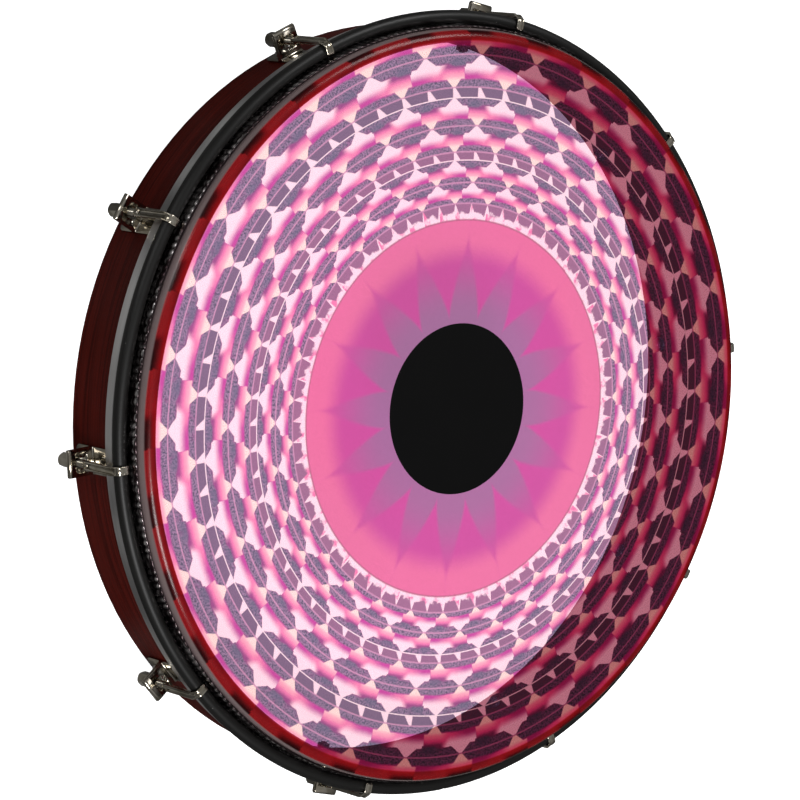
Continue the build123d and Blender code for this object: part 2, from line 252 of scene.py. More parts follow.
def petal_rows(graph, radius, turn, ragged, speckle):
    """Colour of the petal rows outside the disc."""
    level = graph.math("LOGARITHM", radius / FIRST_ROW, math.e) / math.log(PAIR_RATIO)
    share = graph.fraction(level + 8)
    around = turn * PETALS - PETAL_PHASE
    second = graph.above(share, SECOND_ROW)
    in_band = graph.above(share, BAND_START)
    step = graph.choose(second, (share - SECOND_ROW) / (BAND_START - SECOND_ROW), share / SECOND_ROW)
    side = graph.choose(second, around - 0.5, around * -1.0)
    side = graph.fraction(side + 0.5) - 0.5          # 0 at a tip of the row inside, +-0.5 at the row outside
    tip = graph.absolute(side)
    feathered = side + (ragged - 0.5) * 0.10
    feathered_step = step + (ragged - 0.5) * 0.07

    # Gap between two rows: a kite outside each tip, then fringes of two colours, then a pale stretch.
    kite = graph.mix(graph.smooth(feathered_step, 0.20, 0.38), CREAM, PEACH)
    kite = graph.mix(graph.smooth(feathered_step, 0.36, 0.54), kite, PINK)
    kite = graph.mix(graph.smooth(feathered_step, 0.50, 0.66), kite, PURPLE)
    wrapped = graph.fraction(feathered)
    fringe = graph.mix(graph.smooth(wrapped, 0.36, 0.72), MAGENTA, SALMON)
    kite_edge = 0.235 - step * 0.05
    in_kite = graph.smooth(feathered, -0.28, -0.10) * graph.smooth(side, kite_edge, kite_edge - 0.03)
    colour = graph.mix(in_kite, fringe, kite)
    wedge = 0.20 * graph.smooth(side, -0.32, -0.11) * (1 - graph.above(side, 0.2))
    pale = graph.smooth(feathered_step - wedge, 0.33, 0.64) * (1 - in_kite)
    colour = graph.mix(pale, colour, PALE)

    # The row outside: upper halves of its petals, with a slate shadow off the middle.
    shadow_top = graph.smooth(side, -0.12, 0.03) * graph.smooth(side, 0.235, 0.215) * 0.085
    upper_height = graph.minimum((0.5 - tip - 0.012) * 1.72, 0.285 + shadow_top)
    upper = graph.smooth(upper_height - (1 - feathered_step), -0.015, 0.03)
    petal = graph.mix(graph.smooth(radius, 130, 205), PETAL_INNER, PETAL_OUTER)
    petal = graph.mix(graph.smooth(speckle, 0.40, 0.57), PETAL_DARK, graph.mix(0.5, petal, PETAL_LIGHT))
    petal = graph.mix(graph.smooth(ragged, 0.52, 0.72) * 0.35, petal, PURPLE)
    slate = graph.smooth(graph.absolute(feathered - 0.08), 0.21, 0.04)
    slate = slate * graph.smooth(feathered_step, 0.98, 0.80)
    upper_petal = graph.mix(slate * 0.6, petal, SLATE)
    upper_rim = graph.smooth(upper_height - (1 - feathered_step), 0.09, 0.0) * graph.smooth(tip, 0.5, 0.2)
    upper_petal = graph.mix(upper_rim * 0.8, upper_petal, PURPLE)
    colour = graph.mix(upper, colour, upper_petal)

    # The row inside: lower halves of its petals.
    lower_height = graph.minimum((tip - 0.02) * 2.45, 0.28 + graph.smooth(tip, 0.2, 0.5) * 0.03)
    lower_depth = lower_height - step - (ragged - 0.5) * 0.04
    lower_rim = graph.smooth(lower_depth, 0.10, 0.0) * graph.smooth(step, 0.14, 0.28)
    lower_petal = graph.mix(lower_rim * 0.9, petal, MAGENTA)
    colour = graph.mix(graph.smooth(lower_depth, -0.02, 0.04), colour, lower_petal)

    # Band of half petals inside the first row of each pair.
    half_share = graph.fraction(around * 2.0)
    depth = (1 - share) / (1 - BAND_START)
    slant = graph.smooth(1 - half_share - depth * 0.25, 0.02, 0.07)
    straight = graph.smooth(half_share, 0.02, 0.06)
    half_petal = graph.mix(graph.smooth(radius, 130, 205), HALF_PETAL, PETAL_OUTER)
    band = graph.mix(slant * straight, PALE, half_petal)
    colour = graph.mix(in_band, colour, band)

    # Inside the first row there is a pale rim with white points instead of a whole row.
    rim_step = (FIRST_ROW - radius) / (FIRST_ROW - DISC_R)
    inner = graph.above(rim_step, 0.0)
    arch = graph.minimum(half_share * 7.0, (1 - half_share) * 2.6)
    arch_top = graph.minimum(arch, 0.62 + (ragged - 0.5) * 0.9)
    rim_petal = graph.smooth(arch_top - rim_step, -0.08, 0.10)
    rim = graph.mix(graph.smooth(ragged, 0.46, 0.62) * graph.smooth(half_share, 0.25, 0.6), PALE, SALMON)
    rim = graph.mix(rim_petal, rim, HALF_PETAL)
    colour = graph.mix(inner, colour, rim)

    # Fine circles: one along the middle of each row, and a white one along the band's inner edge.
    pair_width = radius * math.log(PAIR_RATIO)
    middle = graph.minimum(graph.absolute(share - SECOND_ROW), graph.minimum(share, 1 - share)) * pair_width
    colour = graph.mix(graph.smooth(middle, 0.75, 0.25) * 0.8, colour, LINE)
    white = graph.absolute(share - BAND_START) * pair_width
    outside_rim = graph.above(radius, FIRST_ROW)
    return graph.mix(graph.smooth(white, 0.46, 0.24) * outside_rim, colour, WHITE_LINE)


def star_disc(graph, radius, turn, ragged):
    """Colour of the middle disc: a star on a disc that pales towards its edge."""
    ground = graph.mix(graph.smooth(radius, 86, 103), DISC_MAGENTA, DISC_EDGE)
    spoke = graph.absolute(graph.fraction(turn * STAR_POINTS - STAR_PHASE + 0.5) - 0.5)
    reach = (STAR_TIP - radius) / (STAR_TIP - STAR_ROOT)
    width = graph.math("POWER", graph.math("MAXIMUM", reach, 0.0), 1.25) * 0.56
    star = graph.smooth(width - spoke - (ragged - 0.5) * 0.03, -0.03, 0.09)
    star_colour = graph.mix(graph.smooth(radius, 56, 102), DISC_GREY, DISC_MAGENTA)
    return graph.mix(star * 0.8, ground, star_colour)


def make_print_material():
    """Translucent printed film: what is behind it shows through the dyes."""
    graph = Graph("printed_film")
    radius, turn, height = drum_coordinates(graph)
    x, y, _ = graph.place()
    flat = graph.vector(x, y, 0.0)
    ragged = graph.noise(flat, 160.0, 3.0, 0.6)
    speckle = graph.noise(flat, 800.0, 2.0, 0.8)
    rows = petal_rows(graph, radius, turn, ragged, speckle)
    disc = star_disc(graph, radius, turn, ragged)
    colour = graph.mix(graph.above(radius, DISC_R), disc, rows)
    outline = graph.smooth(graph.absolute(radius - DISC_R), 0.9, 0.2)
    colour = graph.mix(outline * 0.75, colour, OUTLINE)
    grain = graph.mix(graph.smooth(speckle, 0.34, 0.66), (0.93, 0.93, 0.94), (1.0, 1.0, 1.0))
    colour = graph.mix(1.0, colour, grain, "MULTIPLY")
    # Painted shade: beyond the shoulder the print is darkened red, standing in for the shell's bearing edge
    # that shades the film from behind.
    shoulder_shade = graph.smooth(radius, SHOULDER_IN, SHOULDER_OUT)
    colour = graph.mix(shoulder_shade, colour, graph.mix(1.0, colour, (0.74, 0.20, 0.20), "MULTIPLY"))
    collar = graph.smooth(height, HEAD_Z / MM - COLLAR_DROP[0], HEAD_Z / MM - COLLAR_DROP[1])

    own = graph.node("Gamma", Color=colour, Gamma=2.0).outputs[0]
    own = graph.mix(1.0, own, (1.0, 0.42, 0.50), "MULTIPLY")
    own = graph.mix(collar, own, COLLAR_GREY)
    passed = graph.node("Gamma", Color=colour, Gamma=0.8).outputs[0]
    glare = graph.noise(flat, 22.0, 2.0)
    shader = graph.node("BsdfPrincipled", Base_Color=own, Roughness=0.16 + glare * 0.10,
                        Normal=graph.bump(speckle, 0.10, 0.0001))
    shader.inputs["IOR"].default_value = 1.5
    clear = graph.node("BsdfTransparent", Color=passed)
    share = graph.choose(collar, COLLAR_CLEAR, PRINT_CLEAR)
    mixed = graph.node("MixShader", Fac=share)
    graph.tree.links.new(shader.outputs[0], mixed.inputs[1])
    graph.tree.links.new(clear.outputs[0], mixed.inputs[2])
    return graph.surface(mixed.outputs[0])


def make_film_back_material():
    """Unprinted back of the film: nearly clear, with a slight haze."""
    graph = Graph("film_back")
    x, y, z = graph.place()
    haze = graph.noise(graph.vector(x, y, z), 40.0, 3.0)
    shader = graph.node("BsdfPrincipled", Base_Color=(0.80, 0.72, 0.75), Roughness=0.22 + haze * 0.12)
    clear = graph.node("BsdfTransparent", Color=(0.98, 0.97, 0.97))
    mixed = graph.node("MixShader", Fac=0.97)
    graph.tree.links.new(shader.outputs[0], mixed.inputs[1])
    graph.tree.links.new(clear.outputs[0], mixed.inputs[2])
    return graph.surface(mixed.outputs[0])


def make_wood_material():
    """Dark red-brown satin shell with fine grain round the circumference, and painted light on its inner
    wall.
    """
    graph = Graph("shell_wood")
    radius, turn, height = drum_coordinates(graph)
    fine = graph.noise(along_rim(graph, turn, radius, height, 3.0, 3.2), 1.0, 6.0, 0.7)
    streak = graph.noise(along_rim(graph, turn, radius, height, 1.2, 0.55), 1.0, 4.0, 0.6)
    pore = graph.noise(along_rim(graph, turn, radius, height, 14.0, 7.0), 1.0, 3.0, 0.6)
    colour = graph.mix(graph.smooth(streak, 0.35, 0.68), (0.026, 0.0016, 0.0008), (0.062, 0.0042, 0.0020))
    colour = graph.mix(graph.smooth(fine, 0.50, 0.70) * 0.7, colour, (0.10, 0.009, 0.005))
    colour = graph.mix(graph.smooth(pore, 0.60, 0.72) * 0.6, colour, (0.012, 0.002, 0.002))
    # Painted light: the inner wall is lightened, standing in for light reaching it through the drum's open
    # back.
    inside = graph.smooth(radius, SHELL_R / MM - 3.0, SHELL_R / MM - 7.0)
    colour = graph.mix(inside, colour, graph.mix(0.6, colour, (0.46, 0.060, 0.034)))
    roughness = 0.34 + fine * 0.16
    relief = fine * 0.6 + pore * 0.4
    shader = graph.node("BsdfPrincipled", Base_Color=colour, Roughness=roughness,
                        Normal=graph.bump(relief, 0.35, 0.0003))
    shader.inputs["Specular IOR Level"].default_value = 0.05
    return graph.surface(shader.outputs[0])


def make_dot_material():
    """Matt black disc with a fine tooth."""
    graph = Graph("dot_black")
    x, y, _ = graph.place()
    flat = graph.vector(x, y, 0.0)
    tooth = graph.noise(flat, 2200.0, 2.0)
    cloud = graph.noise(flat, 30.0, 3.0)
    colour = graph.mix(cloud, (0.0016, 0.0016, 0.0017), (0.0028, 0.0027, 0.0028))
    shader = graph.node("BsdfPrincipled", Base_Color=colour, Roughness=0.75 + cloud * 0.10,
                        Normal=graph.bump(tooth, 0.25, 0.0001))
    shader.inputs["Specular IOR Level"].default_value = 0.08
    return graph.surface(shader.outputs[0])


def make_cover_material():
    """Satin black vinyl edge cover with draw lines and a few specks of dust."""
    graph = Graph("cover_black")
    radius, turn, height = drum_coordinates(graph)
    x, y, z = graph.place()
    draw = graph.noise(along_rim(graph, turn, radius, height, 2.0, 1.6), 1.0, 4.0)
    tooth = graph.noise(graph.vector(x, y, z), 900.0, 2.0)
    dust = graph.node("TexVoronoi", Vector=graph.vector(x, y, z), Scale=130.0)
    specks = graph.smooth(Value(graph, dust.outputs["Distance"]), 0.045, 0.025)
    colour = graph.mix(draw, (0.003, 0.0028, 0.0026), (0.008, 0.0075, 0.007))
    colour = graph.mix(specks * 0.5, colour, (0.30, 0.29, 0.28))
    shader = graph.node("BsdfPrincipled", Base_Color=colour, Roughness=0.36 + draw * 0.16,
                        Normal=graph.bump(tooth * 0.4 + draw, 0.2, 0.0002))
    shader.inputs["Specular IOR Level"].default_value = 0.3
    return graph.surface(shader.outputs[0])


def make_band_material():
    """Satin plated steel with brushing round the hoop."""
    graph = Graph("hoop_steel")
    radius, turn, height = drum_coordinates(graph)
    brush = graph.noise(along_rim(graph, turn, radius, height, 6.0, 9.0), 1.0, 5.0, 0.7)
    cloud = graph.noise(along_rim(graph, turn, radius, height, 2.5, 0.3), 1.0, 3.0)
    colour = graph.mix(cloud, (0.52, 0.51, 0.52), (0.78, 0.77, 0.78))
    shader = graph.node("BsdfPrincipled", Base_Color=colour, Roughness=0.26 + brush * 0.16,
                        Normal=graph.bump(brush, 0.18, 0.0001))
    shader.inputs["Metallic"].default_value = 1.0
    return graph.surface(shader.outputs[0])


def make_crimp_material():
    """Aluminium of the crimped flesh hoop, with painted shade in the folds and patches of painted dark
    reflection.
    """
    graph = Graph("hoop_aluminium")
    radius, turn, height = drum_coordinates(graph)
    scuff = graph.noise(along_rim(graph, turn, radius, height, 60.0, 1.5), 1.0, 4.0, 0.7)
    # Painted shade: the folds, nearest the film, are darkened.
    fold = graph.smooth(radius, FILM_R / MM + 0.9, FILM_R / MM + 1.7)
    # Painted reflection: dark patches stand in for the black edge cover mirrored in the crimps, between
    # patches of plain aluminium.
    reflection_patch = graph.noise(along_rim(graph, turn, radius, height, 22.0, 0.4), 1.0, 2.0, 0.6)
    aluminium_with_painted_reflection = graph.mix(graph.smooth(reflection_patch, 0.44, 0.58), (0.07, 0.045, 0.05), (0.85, 0.80, 0.80))
    colour = graph.mix(fold, (0.04, 0.028, 0.03), aluminium_with_painted_reflection)
    shader = graph.node("BsdfPrincipled", Base_Color=colour, Roughness=0.12 + scuff * 0.22,
                        Normal=graph.bump(scuff, 0.25, 0.0002))
    shader.inputs["Metallic"].default_value = 1.0
    return graph.surface(shader.outputs[0])


def make_plated_material(name, light, dark, roughness):
    """Plated metal with faint polishing marks and handling haze."""
    graph = Graph(name)
    x, y, z = graph.place()
    haze = graph.noise(graph.vector(x, y, z), 110.0, 4.0, 0.6)
    marks = graph.noise(graph.vector(x * 6.0, y * 6.0, z), 900.0, 3.0, 0.6)
    colour = graph.mix(graph.smooth(haze, 0.35, 0.70), light, dark)
    shader = graph.node("BsdfPrincipled", Base_Color=colour, Roughness=roughness + haze * 0.14,
                        Normal=graph.bump(marks, 0.06, 0.0001))
    shader.inputs["Metallic"].default_value = 1.0
    return graph.surface(shader.outputs[0])


materials = {
    "print": make_print_material(),
    "film_back": make_film_back_material(),
    "wood": make_wood_material(),
    "dot": make_dot_material(),
    "cover": make_cover_material(),
    "band": make_band_material(),
    "crimp": make_crimp_material(),
    "nickel": make_plated_material("nickel_plate", (0.56, 0.52, 0.45), (0.34, 0.30, 0.23), 0.07),
    "zinc": make_plated_material("fastener_steel", (0.62, 0.61, 0.59), (0.48, 0.47, 0.45), 0.24),
}


# ================================================================ mesh helpers
def new_piece(name, mesh, material, body, node=None):
    """An object from a bmesh that rides on a body and may stand for a CAD node."""
    data = bpy.data.meshes.new(name)
    bmesh.ops.recalc_face_normals(mesh, faces=mesh.faces)
    mesh.to_mesh(data)
    mesh.free()
    piece = bpy.data.objects.new(name, data)
    bpy.context.scene.collection.objects.link(piece)
    data.materials.append(material)
    data.shade_smooth()
    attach(piece, body)
    if node:
        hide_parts(node)
    return piece


def grid_mesh(rows, closed_rows=True, closed_columns=True, caps=False):
    """Faces between rows of points; every row has the same number of points."""
    mesh = bmesh.new()
    grid = [[mesh.verts.new(point) for point in row] for row in rows]
    count = len(grid[0])
    last_row = len(grid) if closed_rows else len(grid) - 1
    last_column = count if closed_columns else count - 1
    for i in range(last_row):
        a = grid[i]
        b = grid[(i + 1) % len(grid)]
        for j in range(last_column):
            k = (j + 1) % count
            mesh.faces.new((a[j], a[k], b[k], b[j]))
    if caps:
        mesh.faces.new(grid[0])
        mesh.faces.new(grid[-1])
    return mesh


def polar(radius, angle, height):
    return Vector((radius * math.cos(angle), radius * math.sin(angle), height))


def lathe(outline, steps):
    """Ring turned about the drum's axis from a closed outline of (radius, height) points."""
    rows = []
    for i in range(steps):
        angle = math.tau * i / steps
        rows.append([polar(radius, angle, height) for radius, height in outline])
    return grid_mesh(rows)


def rounded_outline(corners, radii, steps=4):
    """Closed outline with its corners rounded by arcs."""
    points = []
    count = len(corners)
    for i, corner in enumerate(corners):
        here = Vector(corner)
        before = (Vector(corners[i - 1]) - here).normalized()
        after = (Vector(corners[(i + 1) % count]) - here).normalized()
        points.extend(arc_points(here, before, after, radii[i], steps))
    return points


def arc_points(corner, before, after, radius, steps):
    """Points of the arc that rounds one corner between two unit directions."""
    if radius <= 0:
        return [tuple(corner)]
    half = before.angle(after) / 2
    centre = corner + (before + after).normalized() * (radius / math.sin(half))
    start = corner + before * (radius / math.tan(half))
    turn = math.pi - 2 * half
    sign = 1.0 if before.x * after.y - before.y * after.x < 0 else -1.0
    points = []
    for k in range(steps + 1):
        arm = start - centre
        arm.rotate(Matrix.Rotation(sign * turn * k / steps, 2))
        points.append(tuple(centre + arm))
    return points


def rounded_line(corners, radii, steps=6):
    """Open line with its inner corners rounded by arcs."""
    points = [tuple(corners[0])]
    for i in range(1, len(corners) - 1):
        here = Vector(corners[i])
        before = (Vector(corners[i - 1]) - here).normalized()
        after = (Vector(corners[i + 1]) - here).normalized()
        points.extend(arc_points(here, before, after, radii[i - 1], steps))
    points.append(tuple(corners[-1]))
    return points


def turned_to(mesh, angle):
    """Turns a lug's mesh, made along +X, to a lug's place."""
    bmesh.ops.rotate(mesh, verts=mesh.verts, cent=(0, 0, 0), matrix=Matrix.Rotation(angle, 3, "Z"))
    return mesh


def join_meshes(meshes):
    """One bmesh that holds copies of several."""
    whole = bmesh.new()
    for mesh in meshes:
        data = bpy.data.meshes.new("scratch")
        mesh.to_mesh(data)
        mesh.free()
        whole.from_mesh(data)
        bpy.data.meshes.remove(data)
    return whole


# ================================================================ head
FILM_THICKNESS = 0.4 * MM
SHOULDER = 6.5 * MM            # outer radius of the film's rounded shoulder
SHOULDER_STEPS = 16
FILM_STEPS = 360
DOT_STEPS = 240
DOT_EDGE = 0.18 * MM


def film_line(offset):
    """Film surface from the middle to the collar's end, moved inwards by an offset."""
    centre_r = FILM_R - SHOULDER
    centre_z = HEAD_Z - SHOULDER
    top = HEAD_Z - offset
    line = [(share * centre_r, top) for share in (0.02, 0.25, 0.5, 0.75, 0.9, 0.97, 1.0)]
    for k in range(1, SHOULDER_STEPS + 1):
        angle = math.pi / 2 * (1 - k / SHOULDER_STEPS)
        arm = SHOULDER - offset
        line.append((centre_r + arm * math.cos(angle), centre_z + arm * math.sin(angle)))
    line.append((FILM_R - offset, COLLAR_Z))
    return line


def make_film():
    outer = film_line(0.0)
    inner = film_line(FILM_THICKNESS)
    rows = []
    for radius, height in [*outer, *reversed(inner)]:
        rows.append([polar(radius, math.tau * i / FILM_STEPS, height) for i in range(FILM_STEPS)])
    mesh = grid_mesh(rows, closed_rows=False, caps=True)
    piece = new_piece("drum_head_film", mesh, materials["print"], "drum_shell", "head_film")
    piece.data.materials.append(materials["film_back"])
    for face in piece.data.polygons:
        outward = face.normal.z > 0.3
        middle = Vector((face.center.x, face.center.y, 0)).normalized()
        if not outward and face.normal.dot(middle) < 0.3:
            face.material_index = 1
    return piece


def make_dot():
    bottom = HEAD_Z + 0.01 * MM
    top = dot_high.z
    line = [(0.02 * DOT_R, top), (0.5 * DOT_R, top), (0.9 * DOT_R, top)]
    for k in range(5):
        angle = math.pi / 2 * (1 - k / 4)
        line.append((DOT_R - DOT_EDGE + DOT_EDGE * math.cos(angle),
                     top - DOT_EDGE + DOT_EDGE * math.sin(angle)))
    line.append((DOT_R, bottom))
    rows = [[polar(r, math.tau * i / DOT_STEPS, z) for i in range(DOT_STEPS)] for r, z in line]
    mesh = grid_mesh(rows, closed_rows=False, caps=True)
    return new_piece("centre_dot", mesh, materials["dot"], "drum_shell", "head_dot")


# ================================================================ hoops
HOOP_STEPS = 720
CRIMPS = 312
CRIMP_SAMPLES = 8
CRIMP_ROWS = 10
CRIMP_SLANT = 0.55             # crimps that a fold leans over between foot and top
CRIMP_WALL = 1.5 * MM
HOOP_PLAY = 0.3 * MM           # film to flesh hoop
FOOT_BELOW_BAND = 7.2 * MM     # foot's top below the band's top
BAND_WALL = 2.0 * MM
BAND_BEAD = 0.45 * MM
FLANGE_REACH = 3.1 * MM
FLANGE_DROP = 2.3 * MM         # flange below the edge cover
COVER_R = 4.1 * MM
COVER_STEPS = 32
SLOT_HALF = 1.05 * MM
JOINT_ANGLE = math.radians(285)
JOINT_PINCH = 0.35 * MM
JOINT_REACH = 0.9 * MM


def make_flesh_hoop():
    """Aluminium ring: a plain foot and an upright wall folded over into slanting crimps."""
    inner = FILM_R + HOOP_PLAY
    foot_r = flesh_high.x
    wall_r = inner + CRIMP_WALL
    foot_top = band_high.z - FOOT_BELOW_BAND
    top = flesh_high.z
    rows = []
    uneven = random.Random(3)
    pinches = [uneven.uniform(0.35, 0.95) * MM for _ in range(CRIMPS)]
    for i in range(CRIMPS * CRIMP_SAMPLES):
        angle = math.tau * i / (CRIMPS * CRIMP_SAMPLES)
        row = [polar(inner, angle, flesh_low.z), polar(foot_r, angle, flesh_low.z),
               polar(foot_r, angle, foot_top), polar(wall_r, angle, foot_top)]
        for k in range(CRIMP_ROWS + 1):
            height = foot_top + (top - foot_top) * k / CRIMP_ROWS
            fold = abs(math.sin(math.pi * (i / CRIMP_SAMPLES + CRIMP_SLANT * k / CRIMP_ROWS)))
            grip = min(1.0, k / 3.0)
            crown = math.sqrt(max(0.0, 1 - (max(0.0, k / CRIMP_ROWS - 0.7) / 0.3) ** 2))
            crimp = int(i / CRIMP_SAMPLES + CRIMP_SLANT * k / CRIMP_ROWS) % CRIMPS
            depth = pinches[crimp] * (1 - fold) ** 1.3 * grip
            radius = inner + (wall_r - inner - depth) * (0.35 + 0.65 * crown)
            row.append(polar(radius, angle, height))
        row.append(polar(inner, angle, top - 0.5 * MM))
        rows.append(row)
    mesh = grid_mesh(rows)
    return new_piece("crimped_flesh_hoop", mesh, materials["crimp"], "tension_hoop",
                     "flesh_hoop")


def make_counter_hoop():
    outer = band_high.x
    inner = outer - BAND_WALL
    flange_r = inner - FLANGE_REACH
    flange_z = cover_low.z - FLANGE_DROP
    flange_top = flange_z + BAND_WALL
    corners = [(inner, band_low.z), (outer, band_low.z), (outer, flange_z),
               (outer + BAND_BEAD, flange_z + BAND_WALL / 2), (outer, flange_top), (outer, band_high.z),
               (inner, band_high.z), (inner, flange_top), (flange_r, flange_top), (flange_r, flange_z),
               (inner, flange_z)]
    radii = [r * MM for r in (0.7, 0.7, 0.4, 0.4, 0.4, 0.3, 0.3, 0.8, 0.6, 0.6, 0.3)]
    mesh = lathe(rounded_outline(corners, radii), HOOP_STEPS)
    return new_piece("steel_counter_hoop", mesh, materials["band"], "tension_hoop",
                     "counter_hoop")


def make_edge_cover():
    """Round vinyl cover, open below where it is pushed over the band, with a butt joint."""
    centre_r = cover_high.x - COVER_R
    centre_z = cover_high.z - COVER_R
    slot_top = band_high.z + 0.05 * MM
    gap_angle = math.asin(SLOT_HALF / COVER_R)
    rows = []
    for i in range(HOOP_STEPS):
        angle = math.tau * i / HOOP_STEPS
        away = abs((angle - JOINT_ANGLE + math.pi) % math.tau - math.pi) * centre_r
        radius = COVER_R - JOINT_PINCH * math.exp(-(away / JOINT_REACH) ** 2)
        row = []
        for k in range(COVER_STEPS + 1):
            around = -math.pi / 2 + gap_angle + (math.tau - 2 * gap_angle) * k / COVER_STEPS
            row.append(polar(centre_r + radius * math.cos(around), angle,
                             centre_z + radius * math.sin(around)))
        row.append(polar(centre_r - SLOT_HALF, angle, slot_top))
        row.append(polar(centre_r + SLOT_HALF, angle, slot_top))
        rows.append(row)
    mesh = grid_mesh(rows)
    return new_piece("vinyl_edge_cover", mesh, materials["cover"], "tension_hoop",
                     "hoop_edge_cover")


# ================================================================ lugs
ROD_OFFSET = 11.0 * MM
ROD_R = SHELL_R + ROD_OFFSET
SHEET = 1.6 * MM
HALF_WIDTH = 8.2 * MM
STRIP_CORNER = 3.5 * MM
STRIP_EDGE = 0.3 * MM
FOOT_BEND = 2 * MM
TAB_Z = 22.1 * MM
TAB_GAP = 0.4 * MM             # between the tab's two layers
ROD_SLOT = (3.2 * MM, 2.4 * MM, 1.2 * MM)   # end radius, length added, middle's distance in from the rod
PITCH = 0.8 * MM
THREAD_DEPTH = 0.42 * MM


def sweep(line, section, caps=True):
    """Solid along a line in the lug's middle plane. section(share, length) gives (out, across) points."""
    rows = []
    count = len(line)
    lengths = [0.0]
    for a, b in zip(line, line[1:]):
        lengths.append(lengths[-1] + math.dist(a, b))
    for i, (radius, height) in enumerate(line):
        ahead = Vector(line[min(i + 1, count - 1)]) - Vector(line[max(i - 1, 0)])
        ahead.normalize()
        normal = Vector((ahead.y, -ahead.x))
        row = []
        for out, across in section(lengths[i], lengths[-1]):
            row.append(Vector((radius + normal.x * out, across, height + normal.y * out)))
        rows.append(row)
    return grid_mesh(rows, closed_rows=False, caps=caps)


def round_end(distance, corner):
    """How much narrower a strip is near a rounded end."""
    if distance >= corner:
        return 0.0
    return corner - math.sqrt(max(0.0, corner ** 2 - (corner - distance) ** 2))


def fine_line(line, step):
    """The same line with its long runs divided."""
    points = [line[0]]
    for a, b in zip(line, line[1:]):
        pieces = max(1, math.ceil(math.dist(a, b) / step))
        for k in range(1, pieces + 1):
            points.append(tuple(Vector(a).lerp(Vector(b), k / pieces)))
    return points


def strip_section(half_width, thickness, corner, edge):
    """Rectangle with small rounded edges, narrowed at both rounded ends."""
    def section(length, total):
        inset = round_end(min(length, total - length), corner)
        half = half_width - inset
        out = thickness / 2
        return [(-out, -half + edge), (-out, half - edge), (-out + edge, half), (out - edge, half),
                (out, half - edge), (out, -half + edge), (out - edge, -half), (-out + edge, -half)]
    return section


def cut(mesh, cutter):
    """Subtracts a closed bmesh from another with Blender's exact boolean."""
    objects = []
    for part in (mesh, cutter):
        bmesh.ops.recalc_face_normals(part, faces=part.faces)
        data = bpy.data.meshes.new("scratch")
        part.to_mesh(data)
        part.free()
        scratch = bpy.data.objects.new("scratch", data)
        bpy.context.scene.collection.objects.link(scratch)
        objects.append(scratch)
    modifier = objects[0].modifiers.new("cut", "BOOLEAN")
    modifier.operation = "DIFFERENCE"
    modifier.solver = "EXACT"
    modifier.object = objects[1]
    graph = bpy.context.evaluated_depsgraph_get()
    result = bmesh.new()
    result.from_mesh(objects[0].evaluated_get(graph).to_mesh())
    for scratch in objects:
        bpy.data.objects.remove(scratch)
    return result


def upright_slot(radius, centre, spread, bottom, top):
    """Cutter: an upright bar with round ends, drawn out towards the shell."""
    outline = []
    for k in range(32):
        angle = math.tau * k / 32
        shift = spread / 2 if math.cos(angle) >= 0 else -spread / 2
        outline.append((centre + shift + radius * math.cos(angle), radius * math.sin(angle)))
    rows = [[Vector((x, y, z)) for x, y in outline] for z in (bottom, top)]
    return grid_mesh(rows, closed_rows=False, caps=True)


def make_bracket():
    """Folded strip: rear foot, doubled tab with a rounded fold, front foot."""
    middle = SHELL_R + SHEET / 2
    tip = bracket_high.y - SHEET / 2
    fold = SHEET / 2 + TAB_GAP / 2
    corners = [(middle, bracket_low.z), (middle, TAB_Z - fold), (tip, TAB_Z - fold), (tip, TAB_Z + fold),
               (middle, TAB_Z + fold), (middle, bracket_high.z)]
    line = rounded_line(corners, [FOOT_BEND, fold * 0.98, fold * 0.98, FOOT_BEND])
    mesh = sweep(fine_line(line, 0.5 * MM), strip_section(HALF_WIDTH, SHEET, STRIP_CORNER, STRIP_EDGE))
    radius, spread, inwards = ROD_SLOT
    slot = upright_slot(radius, ROD_R - inwards, spread, TAB_Z - 4 * MM, TAB_Z + 4 * MM)
    return cut(mesh, slot)


ARM_HALF = 2.6 * MM
ARM_WEB = 1.2 * MM
RIB = 1.0 * MM
RIB_HEIGHT = 1.6 * MM
ARM_START = 29.0 * MM
ARM_PLAY = 0.3 * MM            # arm to edge cover
CLAW_BEND_R = 6.5 * MM         # inward reach of the claw's flat, and of its tip
CLAW_TIP_R = 7.5 * MM
CLAW_TIP_DROP = 0.6 * MM
RIB_RUN_OUT = 3.2 * MM         # length over which a rib rises


def make_arm():
    """Pressed arm of channel section, ending in a plain claw over the edge cover."""
    arm_r = cover_high.x + ARM_PLAY + ARM_WEB / 2
    claw_z = cover_high.z + ARM_PLAY + ARM_WEB / 2
    corners = [(arm_r, ARM_START), (arm_r, claw_z), (arm_r - CLAW_BEND_R, claw_z),
               (arm_r - CLAW_TIP_R, claw_z - CLAW_TIP_DROP)]
    line = fine_line(rounded_line(corners, [3 * MM, 1.2 * MM]), 0.45 * MM)
    rib_end = claw_z - 3 * MM - ARM_START

    def section(length, total):
        half = ARM_HALF - round_end(length, 2.4 * MM) - round_end(total - length, 1.0 * MM)
        rise = min(1.0, max(0.0, length / RIB_RUN_OUT),
                   max(0.0, (rib_end - length + RIB_RUN_OUT / 2) / RIB_RUN_OUT))
        high = ARM_WEB / 2 + RIB_HEIGHT * rise * rise * (3 - 2 * rise)
        low = ARM_WEB / 2
        inner = max(half - RIB, half * 0.3)
        edge = 0.25 * MM
        return [(-low + edge, -half), (-low, -half + edge), (-low, half - edge), (-low + edge, half),
                (high - edge, half), (high, half - edge), (high, inner + edge / 2),
                (high - edge / 2, inner), (low, inner - edge), (low, -inner + edge),
                (high - edge / 2, -inner), (high, -inner - edge / 2), (high, -half + edge),
                (high - edge, -half)]
    return sweep(line, section)


